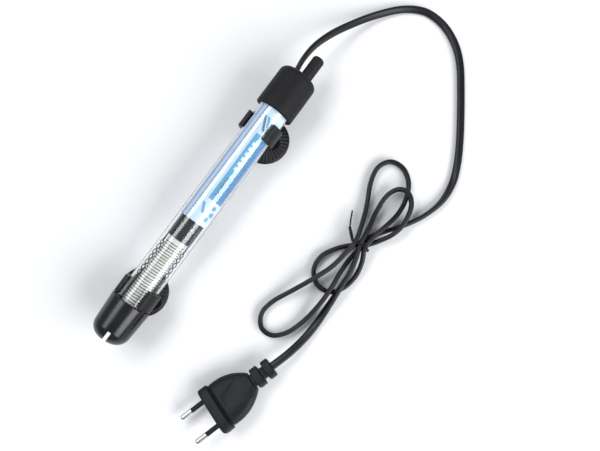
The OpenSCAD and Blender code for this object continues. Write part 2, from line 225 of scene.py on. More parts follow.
def unit(v: Array) -> Array:
    """Each vector divided by its length."""
    return v / np.linalg.norm(v, axis=-1, keepdims=True)


def sweep(path: Array, wide: Array, thin: Array, sections: Array, ends: bool = True) -> Shell:
    """Carry sections along a path: a point is path + b wide + c thin.

    Args:
        path: Points, in metres.
        wide: Unit direction of each section's first number.
        thin: Unit direction of its second.
        sections: One section for all, or one for each point, in metres.
        ends: Whether each end is closed by faces to its middle.

    Returns:
        The swept shell.
    """
    sections = np.broadcast_to(sections, (len(path), *sections.shape[-2:]))
    rows = path[:, None] + sections[..., :1] * wide[:, None] + sections[..., 1:] * thin[:, None]
    if ends:
        first, last = (np.repeat(path[i][None, None], rows.shape[1], 1) for i in (0, -1))
        rows = np.concatenate([first, rows, last])
    return grid(rows)


def tube(path: Array, radius: float, aside: Array, sides: int = 10) -> Shell:
    """A round tube along a path.

    Args:
        path: Points, in metres.
        radius: In metres.
        aside: A direction that the path never takes.
        sides: Steps round it.

    Returns:
        The tube, closed at both ends.
    """
    heading = unit(np.gradient(path, axis=0))
    wide = unit(np.cross(aside, heading))
    return sweep(path, wide, np.cross(heading, wide), oval(radius, radius, 2, sides))


def box_shell(place: Place, low: Triple, high: Triple) -> Shell:
    """A plain box between two local corners, used to cut others.

    Args:
        place: The frame of its corners.
        low: The corner with the lowest numbers.
        high: The corner with the highest.

    Returns:
        The box, closed.
    """
    a = np.array([low[0], low[0], high[0], high[0]])
    b = np.array([low[1], high[1], high[1], low[1]])
    c = np.array([low[2], high[2]])
    ring = np.stack([np.broadcast_to(a, (2, 4)), np.broadcast_to(b, (2, 4)), np.repeat(c[:, None], 4, 1)], -1)
    middle = ring.mean(1, keepdims=True).repeat(4, 1)
    return grid(place.put(np.concatenate([middle[:1], ring, middle[1:]])))


def link(name: str, data: bpy.types.ID) -> Piece:
    """Put a new object with this data into the scene, at the origin."""
    piece = bpy.data.objects.new(name, data)
    bpy.context.scene.collection.objects.link(piece)
    return piece


def joined(shells: Iterable[Shell]) -> Shell:
    """Several shells as one."""
    return reduce(Shell.__add__, shells)


def looking(at: Vector, right: Vector, back: Vector) -> Matrix:
    """The placement of a camera or lamp, with its right and the direction that it faces away from."""
    return Matrix.Translation(at) @ Matrix((right, back.cross(right), back)).transposed().to_4x4()


def smooth_step(x: Array) -> Array:
    """0 below 0, 1 above 1, and 3x^2 - 2x^3 between."""
    x = np.clip(x, 0, 1)
    return x * x * (3 - 2 * x)


# ---------------------------------------------------------------- finishes


class Graph:
    """A material's nodes, and short ways to add them."""

    def __init__(self, name: str) -> None:
        """Start an empty material.

        Args:
            name: The material's name.
        """
        self.material = bpy.data.materials.new(name)
        self.material.use_nodes = True
        self.nodes = self.material.node_tree.nodes
        self.links = self.material.node_tree.links
        self.nodes.clear()

    def add(self, kind: str, inputs: dict | None = None, **settings: object) -> bpy.types.Node:
        """Add a node.

        Args:
            kind: Its type after "ShaderNode".
            inputs: Values or sockets for its inputs, by name or number.
            settings: Its own properties.

        Returns:
            The node.
        """
        node = self.nodes.new("ShaderNode" + kind)
        for key, value in settings.items():
            setattr(node, key, value)
        for key, value in (inputs or {}).items():
            if isinstance(value, Socket):
                self.links.new(value, node.inputs[key])
            else:
                node.inputs[key].default_value = value
        return node

    def math(self, operation: str, *values: object) -> Socket:
        """The result of a Math node."""
        return self.add("Math", dict(enumerate(values)), operation=operation).outputs[0]

    def times(self, first: object, second: object) -> Socket:
        """One value times another."""
        return self.math("MULTIPLY", first, second)

    def blend(self, first: Socket, second: Socket, share: float) -> Socket:
        """A weighted sum, with a share of the first and the rest of the second."""
        return self.math("ADD", self.times(first, share), self.times(second, 1 - share))

    def mix(self, share: object, first: Socket | Triple, second: Socket | Triple) -> Socket:
        """A colour between two, by a share from 0 to 1."""
        ends = {slot: (*end, 1) if isinstance(end, tuple) else end for slot, end in ((6, first), (7, second))}
        return self.add("Mix", {0: share, **ends}, data_type="RGBA").outputs[2]

    def noise(self, size: float, detail: float = 3.0, where: Socket | None = None, stretch: tuple = ()) -> Socket:
        """Noise with lumps of a size.

        Args:
            size: Of a lump, in millimetres.
            detail: How many finer layers it has.
            where: Coordinates; the object's own if not given.
            stretch: Scales along X, Y and Z, where they differ.

        Returns:
            Its strength, from 0 to 1.
        """
        where = where or self.add("TexCoord").outputs["Object"]
        if stretch:
            where = self.add("Mapping", {"Vector": where, "Scale": stretch}).outputs[0]
        return self.add("TexNoise", {"Vector": where, "Scale": 1 / (size * MM), "Detail": detail}).outputs[0]

    def span(self, value: object, low: float, high: float, first: float, last: float) -> Socket:
        """Map a value's range low to high onto first to last, held at both ends."""
        return self.add("MapRange", {0: value, 1: low, 2: high, 3: first, 4: last}).outputs[0]

    def band(self, value: object, low: float, high: float, soft: float) -> Socket:
        """1 where a value is between two numbers, 0 outside, with soft edges."""
        rise = self.span(value, low - soft, low + soft, 0, 1)
        return self.math("MULTIPLY", rise, self.span(value, high - soft, high + soft, 1, 0))

    def bump(self, height: object, depth: float, normal: object = None) -> Socket:
        """A normal from a height map whose full range is depth millimetres, over another normal if given."""
        inputs = {"Height": height, "Distance": depth * MM}
        inputs |= {} if normal is None else {"Normal": normal}
        return self.add("Bump", inputs).outputs[0]

    def surface(self, colour: Socket | Triple, rough: object, normal: Socket | None = None,
                **more: object) -> bpy.types.Node:
        """Add the main shader.

        Args:
            colour: Its base colour.
            rough: Its roughness.
            normal: Its bumped normal, if it has one.
            more: Its other inputs, with _ for a space.

        Returns:
            The shader's node.
        """
        inputs = {"Base Color": (*colour, 1) if isinstance(colour, tuple) else colour, "Roughness": rough}
        inputs |= {} if normal is None else {"Normal": normal}
        inputs |= {key.replace("_", " "): value for key, value in more.items()}
        return self.add("BsdfPrincipled", inputs)

    def finish(self, shader: bpy.types.Node) -> Material:
        """Wire a shader to the output and return the material."""
        self.add("OutputMaterial", {"Surface": shader.outputs[0]})
        return self.material


@dataclass(frozen=True)
class Moulding:
    """Moulded rubber or plastic: a colour that drifts, a fine grain, and gloss that varies.

    Attributes:
        deep: Colour of the darker patches.
        pale: Colour of the lighter ones.
        rough: Lowest and highest roughness.
        grain: Size of the surface grain in millimetres, and its depth.
        waves: Depth of broad unevenness in millimetres.
        specular: How strongly it mirrors head on.
    """

    deep: Triple
    pale: Triple
    rough: Pair
    grain: Pair = (0.35, 0.012)
    waves: float = 0.02
    specular: float = 0.35

    def build(self, g: Graph) -> bpy.types.Node:
        """Two scales of noise drive the colour and the roughness, and a third the grain.

        Args:
            g: The material to fill.

        Returns:
            Its shader.
        """
        drift = g.noise(14.0, 2.0)
        speck = g.noise(1.1, 4.0)
        colour = g.mix(g.span(g.blend(drift, speck, 0.6), 0.38, 0.62, 0, 1), self.deep, self.pale)
        rough = g.span(g.blend(drift, speck, 0.5), 0.35, 0.65, *self.rough)
        waves = g.bump(g.noise(6.0, 1.0), self.waves)
        normal = g.bump(g.noise(self.grain[0], 2.0), self.grain[1], waves)
        return g.surface(colour, rough, normal, Specular_IOR_Level=self.specular)


@dataclass(frozen=True)
class WornMetal:
    """Metal with fine marks, either along or round the piece, and a stain that drifts.

    Attributes:
        bright: Colour where it is clean.
        stained: Colour where it is dull.
        rough: Lowest and highest roughness.
        marks: Scales of the marks along the piece's U and V.
    """

    bright: Triple
    stained: Triple
    rough: Pair
    marks: Pair = (60.0, 3.0)

    def build(self, g: Graph) -> bpy.types.Node:
        """Stretched noise on the piece's own UV gives the marks, and object noise the stain.

        Args:
            g: The material to fill.

        Returns:
            Its shader.
        """
        lines = g.noise(1000.0, 3.0, g.add("TexCoord").outputs["UV"], (*self.marks, 1.0))
        stain = g.noise(4.0, 3.0)
        colour = g.mix(g.span(stain, 0.4, 0.7, 0, 1), self.bright, self.stained)
        rough = g.span(g.blend(lines, stain, 0.6), 0.3, 0.7, *self.rough)
        return g.surface(colour, rough, g.bump(lines, 0.006), Metallic=1.0)


@dataclass(frozen=True)
class ClearGlass:
    """Clear drawn glass that lets lamps through to what is inside."""

    tint: Triple = (0.965, 0.985, 1.0)

    def build(self, g: Graph) -> bpy.types.Node:
        """Smooth glass with a faint waviness; rays from lamps pass straight on.

        Args:
            g: The material to fill.

        Returns:
            Its shader.
        """
        drawn = g.noise(9.0, 1.0, None, (0.12, 1.0, 1.0))
        glass = g.surface(self.tint, g.span(drawn, 0.3, 0.7, 0.0, 0.02), g.bump(drawn, 0.001), IOR=1.52,
                          Transmission_Weight=1.0)
        clear = g.add("BsdfTransparent", {"Color": (*self.tint, 1)})
        lamp = g.add("LightPath").outputs["Is Shadow Ray"]
        return g.add("MixShader", {0: lamp, 1: glass.outputs[0], 2: clear.outputs[0]})


@dataclass(frozen=True)
class FiredCeramic:
    """Unglazed cream ceramic with blotches of browning."""

    cream: Triple = (0.52, 0.50, 0.465)
    browned: Triple = (0.38, 0.34, 0.29)

    def build(self, g: Graph) -> bpy.types.Node:
        """Blotches of browning over cream, with a gritty surface.

        Args:
            g: The material to fill.

        Returns:
            Its shader.
        """
        blotch = g.noise(3.5, 4.0)
        colour = g.mix(g.span(blotch, 0.45, 0.8, 0, 0.7), self.cream, self.browned)
        grit = g.noise(0.3, 3.0)
        return g.surface(colour, g.span(grit, 0.3, 0.7, 0.6, 0.85), g.bump(grit, 0.03))


@dataclass(frozen=True)
class PrintedFilm:
    """The label: pale blue film with plain bars, stripes and dots in blue, and a painted highlight that whitens it
    towards -Y.

    Attributes:
        start: Where the film starts, in millimetres from the guard's tip.
        length: How long it is.
    """

    start: float
    length: float
    pale: Triple = (0.31, 0.39, 0.54)
    # The white colour is both the ink of the printed white strokes and the painted highlight on the film's -Y side.
    white_ink_and_highlight: Triple = (0.43, 0.50, 0.58)
    sky: Triple = (0.028, 0.19, 0.32)
    deep: Triple = (0.008, 0.11, 0.26)
    navy: Triple = (0.004, 0.045, 0.13)
    teal: Triple = (0.015, 0.09, 0.13)

    def build(self, g: Graph) -> bpy.types.Node:
        """Paint each shape over the last, by where it is along the film and its angle from the top.

        The distance along is start + U length, and the angle from the top towards +Y is 180 - 360 V.

        Args:
            g: The material to fill.

        Returns:
            Its shader.
        """
        uv = g.add("SeparateXYZ", {0: g.add("TexCoord").outputs["UV"]})
        s = g.math("MULTIPLY_ADD", uv.outputs[0], self.length, self.start)
        angle = g.math("MULTIPLY_ADD", uv.outputs[1], -360.0, 180.0)
        # Painted highlight: the base goes from white at 60 degrees towards -Y, the side under the brighter left
        # softbox, to pale blue at 50 degrees towards +Y.
        colour = g.mix(g.span(angle, -60, 50, 0, 1), self.white_ink_and_highlight, self.pale)

        def patch(a: float, b: float, low: float, high: float) -> Socket:
            """1 between two distances and two angles."""
            return g.times(g.band(s, a, b, 0.12), g.band(angle, low, high, 0.6))

        def strokes(a: float, pitch: float, share: float) -> Socket:
            """Repeated strokes along the film, from a distance on."""
            part = g.math("FRACT", g.math("DIVIDE", g.math("SUBTRACT", s, a), pitch))
            return g.band(part, 0.06, share, 0.06)

        def slant(a: float, b: float, low: float, high: float) -> Socket:
            """1 in a slanted stroke between two distances, from two angles at the first of them."""
            lean = g.math("MULTIPLY_ADD", g.math("SUBTRACT", s, a), -2.6, angle)
            return g.times(g.band(lean, low, high, 0.8), g.band(s, a, b, 0.15))

        def dot(a: float, turn: float, radius: float) -> Socket:
            """1 inside a dot of a radius, about a distance and an angle."""
            da = g.math("SUBTRACT", s, a)
            db = g.times(g.math("SUBTRACT", angle, turn), MM_PER_DEGREE)
            far = g.math("SQRT", g.math("ADD", g.times(da, da), g.times(db, db)))
            return g.span(far, radius - 0.12, radius + 0.12, 1, 0)

        bars = (113.3, 166.6)
        fine = (116.3, 132.2)
        layers = [
            (g.band(angle, 41, 48, 0.6), self.teal),
            (g.band(angle, 19, 23, 0.6), self.teal),
            (patch(*bars, -44, -7), self.sky),
            (patch(*bars, -84, -44), self.deep),
            (g.times(patch(137.5, 161.9, -41, -19), strokes(137.5, 4.06, 0.68)), self.white_ink_and_highlight),
            (g.times(patch(*fine, -40, -31), strokes(116.3, 2.1, 0.6)), self.navy),
            (g.times(patch(*fine, -27, -18), strokes(117.2, 2.1, 0.6)), self.navy),
            (slant(169.6, 180.0, -44, -33), self.sky),
            (slant(169.6, 180.0, -28, -17), self.teal),
            (slant(103.0, 110.0, -28, -17), self.sky),
            (dot(100.6, -52.0, 1.5), self.sky),
            (dot(104.8, -62.0, 1.9), self.sky),
            (dot(109.4, -54.0, 1.6), self.sky),
        ]
        for mask, ink in layers:
            colour = g.mix(mask, colour, ink)
        fibre = g.noise(0.5, 3.0)
        colour = g.mix(g.span(fibre, 0.4, 0.75, 0, 0.12), colour, (1.0, 1.0, 1.0))
        return g.surface(colour, g.span(fibre, 0.3, 0.7, 0.32, 0.5), g.bump(fibre, 0.006))


@dataclass(frozen=True)
class PaleFloor:
    """A plain pale sheet under the object."""

    def build(self, g: Graph) -> bpy.types.Node:
        """Near-white with a trace of unevenness.

        Args:
            g: The material to fill.

        Returns:
            Its shader.
        """
        colour = g.mix(g.noise(60.0, 2.0), (0.93, 0.93, 0.935), (0.96, 0.96, 0.96))
        return g.surface(colour, 0.8, Specular_IOR_Level=0.2)


class Finish(Enum):
    """Every finish of the heater, each built once."""

    GUARD = Moulding((0.0040, 0.0042, 0.005), (0.007, 0.0072, 0.0085), (0.20, 0.28), (0.5, 0.003), 0.005, 0.5)
    CLIP = Moulding((0.004, 0.004, 0.005), (0.008, 0.008, 0.010), (0.36, 0.5))
    CUP = Moulding((0.005, 0.005, 0.006), (0.010, 0.010, 0.012), (0.42, 0.58))
    CAP = Moulding((0.006, 0.006, 0.007), (0.011, 0.011, 0.012), (0.58, 0.72), (0.45, 0.02), 0.03, 0.28)
    KNOB = Moulding((0.005, 0.005, 0.006), (0.010, 0.010, 0.012), (0.5, 0.64), (0.4, 0.015), 0.02, 0.3)
    SEAL = Moulding((0.02, 0.02, 0.022), (0.035, 0.035, 0.038), (0.6, 0.8))
    STOPPER = Moulding((0.004, 0.004, 0.005), (0.007, 0.007, 0.009), (0.16, 0.24), (0.6, 0.001), 0.001, 0.5)
    CORD = Moulding((0.0035, 0.0035, 0.0045), (0.007, 0.007, 0.009), (0.34, 0.46), (0.5, 0.008), 0.01, 0.4)
    PLUG = Moulding((0.0035, 0.004, 0.005), (0.007, 0.0075, 0.009), (0.45, 0.6), (0.4, 0.012), 0.02, 0.3)
    TIE = Moulding((0.005, 0.005, 0.006), (0.010, 0.010, 0.011), (0.35, 0.5))
    INSULATOR = Moulding((0.70, 0.70, 0.67), (0.80, 0.80, 0.77), (0.4, 0.55))
    LEAD = Moulding((0.35, 0.02, 0.02), (0.50, 0.04, 0.03), (0.4, 0.55))
    WIRE = WornMetal((0.045, 0.040, 0.036), (0.015, 0.014, 0.013), (0.45, 0.65))
    PIN = WornMetal((0.80, 0.79, 0.76), (0.62, 0.60, 0.56), (0.14, 0.30))
    STEEL = WornMetal((0.55, 0.55, 0.56), (0.40, 0.39, 0.38), (0.25, 0.4))
    BRASS = WornMetal((0.72, 0.50, 0.22), (0.50, 0.33, 0.14), (0.25, 0.4))
    SILVER = WornMetal((0.85, 0.84, 0.82), (0.6, 0.58, 0.55), (0.2, 0.3))
    IRON = WornMetal((0.22, 0.22, 0.23), (0.14, 0.13, 0.13), (0.5, 0.7))
    GLASS = ClearGlass()
    CERAMIC = FiredCeramic()
    LABEL = PrintedFilm(LABEL_START, LABEL_LENGTH)
    FLOOR = PaleFloor()

    def material(self) -> Material:
        """The Blender material, made the first time it is asked for."""
        name = f"{self.name.lower()}_finish"
        made = bpy.data.materials.get(name)
        if made is None:
            g = Graph(name)
            made = g.finish(self.value.build(g))
        return made


class Body(Enum):
    """The part's moving bodies."""

    HEATER = "heater"
    GUARD = "guard"
    LOWER_CLIP = "lower_clip"
    UPPER_CLIP = "upper_clip"
    LOWER_CUP = "lower_cup"
    UPPER_CUP = "upper_cup"
    CONTROL = "control"


# ---------------------------------------------------------------- pieces


class Assembly:
    """A group of pieces with the ways to add, cut and round them."""

    def mesh_object(self, name: str, shell: Shell) -> Piece:
        """Make an object of a shell, its seams and poles closed and its faces turned outwards.

        Args:
            name: The object's name.
            shell: Its surface.

        Returns:
            The object, at the origin.
        """
        mesh = bpy.data.meshes.new(name)
        mesh.from_pydata(shell.points.tolist(), [], shell.faces.tolist())
        mesh.uv_layers.new(name="UVMap").data.foreach_set("uv", shell.uv.ravel())
        work = bmesh.new()
        work.from_mesh(mesh)
        bmesh.ops.remove_doubles(work, verts=work.verts, dist=2e-7)
        bmesh.ops.recalc_face_normals(work, faces=work.faces)
        work.to_mesh(mesh)
        work.free()
        return link(name, mesh)

    def dress(self, piece: Piece, finish: Finish, body: Body, slot: str, stands_for: tuple[str, ...] = (),
              crease: float = 38.0) -> Piece:
        """Give a piece its finish, its smooth shading and its body.

        Args:
            piece: The object.
            finish: Its material.
            body: The body it moves with.
            slot: The record's material slot; not used.
            stands_for: The part's nodes that it replaces.
            crease: Edges sharper than this many degrees stay sharp.

        Returns:
            The piece.
        """
        piece.data.materials.clear()
        piece.data.materials.append(finish.material())
        piece.data.shade_smooth()
        piece.data.set_sharp_from_angle(angle=math.radians(crease))
        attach(piece, body.value)
        if stands_for:
            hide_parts(*stands_for)
        log.info("%s: %d faces, %s", piece.name, len(piece.data.polygons), finish.name.lower())
        return piece

    def add(self, name: str, shell: Shell, finish: Finish, body: Body, slot: str, stands_for: tuple[str, ...] = (),
            crease: float = 38.0) -> Piece:
        """Make and dress a piece in one step."""
        return self.dress(self.mesh_object(name, shell), finish, body, slot, stands_for, crease)

    def carve(self, piece: Piece, *cutters: Shell) -> Piece:
        """Cut shells out of a piece.

        Args:
            piece: The object to cut.
            cutters: Closed shells.

        Returns:
            The piece, with the cuts in its mesh.
        """
        for cutter in cutters:
            tool = self.mesh_object("cutter", cutter)
            cut = piece.modifiers.new("cut", "BOOLEAN")
            cut.operation, cut.solver, cut.object = "DIFFERENCE", "EXACT", tool
            graph = bpy.context.evaluated_depsgraph_get()
            graph.update()
            mesh = bpy.data.meshes.new_from_object(piece.evaluated_get(graph), depsgraph=graph)
            piece.modifiers.clear()
            piece.data = mesh
            bpy.data.objects.remove(tool)
        return piece

    def moulded_copy(self, node: str, name: str) -> Piece:
        """Copy a node's mesh with its triangles merged, so that its edges can be rounded.

        Args:
            node: The part's node.
            name: The new object's name.

        Returns:
            The copy, at the origin.
        """
        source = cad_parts[node].data
        count = len(source.vertices)
        points = np.zeros(count * 3, np.float32)
        source.vertices.foreach_get("co", points)
        corners = np.zeros(len(source.polygons) * 3, np.int32)
        source.polygons.foreach_get("vertices", corners)
        mesh = bpy.data.meshes.new(name)
        mesh.from_pydata(points.reshape(-1, 3).tolist(), [], corners.reshape(-1, 3).tolist())
        work = bmesh.new()
        work.from_mesh(mesh)
        bmesh.ops.remove_doubles(work, verts=work.verts, dist=2e-6)
        bmesh.ops.dissolve_limit(work, angle_limit=math.radians(1.5), verts=work.verts, edges=work.edges)
        work.to_mesh(mesh)
        work.free()
        return link(name, mesh)

    def round_edges(self, piece: Piece, width: float, steps: int = 2) -> None:
        """Round a piece's sharp edges by a width in millimetres."""
        bevel = piece.modifiers.new("round", "BEVEL")
        bevel.width, bevel.segments, bevel.limit_method = width * MM, steps, "ANGLE"
        bevel.angle_limit, bevel.use_clamp_overlap = math.radians(38), True


@dataclass
class FlatCord(Assembly):
    """The flat cord, from the cap's grommet to the plug's relief."""

    width: float = 5.4
    thickness: float = 3.4
    steps: int = 10
    path: Array = field(default_factory=lambda: np.zeros((0, 3)))

    def curve(self) -> Array:
        """Points every tenth of the way between the route's own.

        Between points p1 and p2, with neighbours p0 and p3, a point at share t is
        half of (2 p1 + (p2 - p0) t + (2 p0 - 5 p1 + 4 p2 - p3) t^2 + (3 p1 - p0 - 3 p2 + p3) t^3).

        Returns:
            Rows of x, y and z in metres, and the turn in degrees.
        """
        padded = np.concatenate([2 * ROUTE[:1] - ROUTE[1:2], ROUTE, 2 * ROUTE[-1:] - ROUTE[-2:-1]])
        p0, p1, p2, p3 = (padded[i:len(padded) - 3 + i, None] for i in range(4))
        t = np.arange(self.steps)[None, :, None] / self.steps
        square, cube = 2 * p0 - 5 * p1 + 4 * p2 - p3, 3 * p1 - p0 - 3 * p2 + p3
        inner = 0.5 * (2 * p1 + (p2 - p0) * t + square * t**2 + cube * t**3)
        return np.concatenate([inner.reshape(-1, 4), ROUTE[-1:]])

    def build(self) -> Piece:
        """Carry the cord's flat section along its route, turned about it by the route's angle."""
        rows = self.curve()
        self.path, turn = rows[:, :3], np.radians(np.clip(rows[:, 3:], 0, 90))
        heading = unit(np.gradient(self.path, axis=0))
        side = unit(np.cross([0.0, 0.0, 1.0], heading))
        wide = np.cos(turn) * side + np.sin(turn) * np.cross(heading, side)
        section = oval(self.width / 2 * MM, self.thickness / 2 * MM, 2.7, 22)
        shell = sweep(self.path, wide, np.cross(heading, wide), section)
        return self.add("cord_jacket", shell, Finish.CORD, Body.HEATER, "cord_jacket", ("cord",), 60.0)

    def declare(self, piece: Piece, carried: list[Piece]) -> None:
        """Meant to say how long the cord is and what lies on it; it does nothing.

        Args:
            piece: The cord's object; not used.
            carried: The pieces on it; not used.
        """


@dataclass
class Plug(Assembly):
    """The two-pin plug: front bar, waisted body, stepped relief, sleeved pins."""

    heading: float = 163.0
    roll: float = 15.0
    back: float = 50.0
    bar_width: float = 33.6
    pin_pitch: float = 18.6
    pin_radius: float = 2.0
    neck_radius: float = 1.2
    sleeve_radius: float = 1.7
    sleeve_length: float = 9.95

    def place(self) -> Place:
        """The front bar's face centre, with the pins pointing along and standing apart across."""
        h, r = math.radians(self.heading), math.radians(self.roll)
        along = np.array([math.cos(h), math.sin(h), 0.0])
        across = (-math.sin(h) * math.cos(r), math.cos(h) * math.cos(r), math.sin(r))
        origin = ROUTE[-1, :3] / MM + self.back * along
        return Place(tuple(origin.tolist()), tuple(along.tolist()), across)

    def loft(self, rows: list[tuple[float, ...]], panel: float = 0.0, count: int = 96) -> Shell:
        """Join superellipse sections set along the plug.

        Args:
            rows: Distance, half width, half thickness and power of each section.
            panel: Depth of the V-shaped panels pressed into both faces, in millimetres.
            count: Points round a section.

        Returns:
            The lofted shell, closed at both ends.
        """
        a, width, height, power = np.array(rows, float).T
        sections = oval(width, height, power, count)
        b, c = sections[..., 0], sections[..., 1]
        if panel:
            reach = 3.0 + 0.30 * (-a - 9.0)[:, None]
            inside = smooth_step((reach - np.abs(b)) / 0.7) * smooth_step((-a - 11.0) / 1.5)[:, None]
            c = c - np.sign(c) * panel * inside * smooth_step((np.abs(c) - 3.5) / 1.0)
        local = np.stack([np.broadcast_to(a[:, None], b.shape), b, c], -1)
        tips = [np.broadcast_to([a[i], 0.0, 0.0], (1, count, 3)) for i in (0, -1)]
        return grid(self.place().put(np.concatenate([tips[0], local, tips[1]])))

    def moulding(self) -> Shell:
        """The bar with rounded edges, a groove behind it, then the body narrowing to the relief."""
        half = self.bar_width / 2
        edge = [(0.0, 1.9), (-0.12, 1.1), (-0.5, 0.4), (-1.1, 0.1), (-1.8, 0), (-4.0, 0), (-6.3, 0), (-6.9, 0.15),
                (-7.25, 0.5), (-7.4, 1.1)]
        bar = [(a, half - less, 6.5 - less, 5) for a, less in edge]
        groove = [(-7.45, half - 1.9, 4.7, 4.5), (-7.7, half - 2.1, 4.5, 4.5), (-8.05, half - 2.1, 4.5, 4.5)]
        body = [(-8.15, half - 1.7, 5.0, 4), (-8.4, half - 1.3, 5.5, 3.8), (-8.9, half - 1.15, 5.8, 3.6)]
        a = np.linspace(-9.6, -33.2, 40)
        share = (-a - 9.6) / 23.6
        width = half - 1.1 - 8.4 * share**2.4 + 0.9 * share * (1 - share)
        height = 6.1 - 0.9 * share**2
        body += list(zip(a.tolist(), width.tolist(), height.tolist(), (3.4 - 0.4 * share).tolist()))
        rear = [(-33.6, 6.9, 5.0, 3), (-33.9, 6.5, 4.6, 3), (-34.0, 5.9, 4.0, 3)]
        return self.loft(bar + groove + body + rear, 0.55)

    def relief(self) -> Shell:
        """Two long collars on a thinner neck, each edge a little rounded."""
        rows = [(-33.8, 4.4, 3.4, 3.6), (-35.7, 4.4, 3.4, 3.6)]
        for front, rear, width, height in ((-35.8, -41.4, 7.0, 4.9), (-44.6, -49.9, 6.6, 4.7)):
            rows += [(front, width - 0.9, height - 0.9, 4), (front - 0.1, width - 0.35, height - 0.35, 4),
                     (front - 0.45, width, height, 4.2), (rear + 0.45, width, height, 4.2),
                     (rear + 0.1, width - 0.35, height - 0.35, 4), (rear, width - 0.9, height - 0.9, 4)]
            rows += [(rear - 0.08, 4.2, 3.2, 3.4), (rear - 3.1, 4.0, 3.0, 3.4)] if rear > -45 else []
        rows += [(-49.95, 3.6, 2.6, 3.2), (-50.0, 3.2, 2.2, 3.0)]
        return self.loft(rows, 0.0, 72)

    def build(self) -> list[Piece]:
        """Make the plug's four pieces and return them."""
        place, r, n, s = self.place(), self.pin_radius, self.neck_radius, self.sleeve_radius
        pin = [(-11.9, 0.0), (-11.9, n), (10.0, n), (10.0, r - 0.15), (10.15, r), (17.3, r),
               *[(17.3 + 1.7 * math.sin(t), r * math.cos(t) ** 0.8) for t in np.linspace(0.15, 1.45, 9)], (19.0, 0.0)]
        end = self.sleeve_length
        sleeve = [(0.05, n + 0.02), (0.05, s - 0.1), (0.15, s), (end - 0.15, s), (end, s - 0.12), (end, n + 0.02),
                  (0.05, n + 0.02)]
        spots = [place.shifted(b=side * self.pin_pitch / 2) for side in (-1, 1)]
        pins, sleeves = (joined(lathe(outline, spot, 40) for spot in spots) for outline in (pin, sleeve))
        body = self.mesh_object("plug_moulding", self.moulding())
        self.carve(body, *[lathe([(-12, 0), (-12, n + 0.02), (1, n + 0.02), (1, 0)], spot, 40) for spot in spots])
        return [
            self.dress(body, Finish.PLUG, Body.HEATER, "plug_rubber", ("plug_body",)),
            self.add("plug_collars", self.relief(), Finish.PLUG, Body.HEATER, "plug_rubber", ("plug_relief",)),
            self.add("plug_pin_pair", pins, Finish.PIN, Body.HEATER, "pin_nickel", ("plug_pins",)),
            self.add("pin_sleeve_pair", sleeves, Finish.PLUG, Body.HEATER, "plug_rubber", ("pin_sleeves",)),
        ]


@dataclass
class TwistTie(Assembly):
    """A coated wire wound twice about the hank, twisted, with a straight tail."""

    middle: Triple = (31.0, -100.1, 6.5)
    half_width: float = 6.75
    half_height: float = 6.0
    wire: float = 0.5
    strand: float = 0.58
    tail_wire: float = 0.55
    twists: float = 2.75

    def wraps(self) -> Shell:
        """Two turns about the strands: a squared oval in Y and Z that moves half a millimetre along X a turn."""
        t = np.linspace(0, 2, 161)
        b, c = (half * np.sign(wave) * np.abs(wave) ** 0.45
                for half, wave in ((self.half_width, np.cos(TAU * t)), (self.half_height, np.sin(TAU * t))))
        path = np.stack([self.middle[0] - 0.5 + 0.5 * t, self.middle[1] + b, self.middle[2] + c], -1) * MM
        return tube(path, self.wire * MM, np.array([1.0, 0.0, 0.0]), 12)

    def twist(self) -> Shell:
        """Two wires wound about each other, then one that goes on straight."""
        start, end = np.array([31.0, -93.3, 10.0]), np.array([37.0, -87.0, 8.8])
        t = np.linspace(0, 1, 60)[:, None]
        middle = start + (end - start) * t
        aside = unit(np.cross(end - start, [0.0, 0.0, 1.0]))
        above = unit(np.cross(aside, end - start))
        swell = 0.5 + 0.2 * np.sin(math.pi * t)

        def strand(phase: float) -> Shell:
            """One wire of the pair, which starts at an angle."""
            turn = TAU * self.twists * t + phase
            path = (middle + swell * (np.cos(turn) * aside + np.sin(turn) * above)) * MM
            return tube(path, self.strand * MM, unit(end - start + [0, 0, 9.0]), 10)

        tail_start, tail_end = np.array([36.4, -87.6, 8.9]), np.array([47.9, -82.0, 5.0])
        s = np.linspace(0, 1, 24)[:, None]
        tail = tail_start + (tail_end - tail_start) * s + np.array([-0.1, 0.2, 0.2]) * np.sin(math.pi * s)
        straight = tube(tail * MM, self.tail_wire * MM, np.array([0.0, 0.0, 1.0]), 12)
        return joined([strand(0.0), strand(math.pi), straight])

    def build(self) -> Piece:
        """Make the tie as one piece."""
        shell = self.wraps() + self.twist()
        return self.add("hank_tie", shell, Finish.TIE, Body.HEATER, "tie_plastic", ("twist_tie",), 60.0)


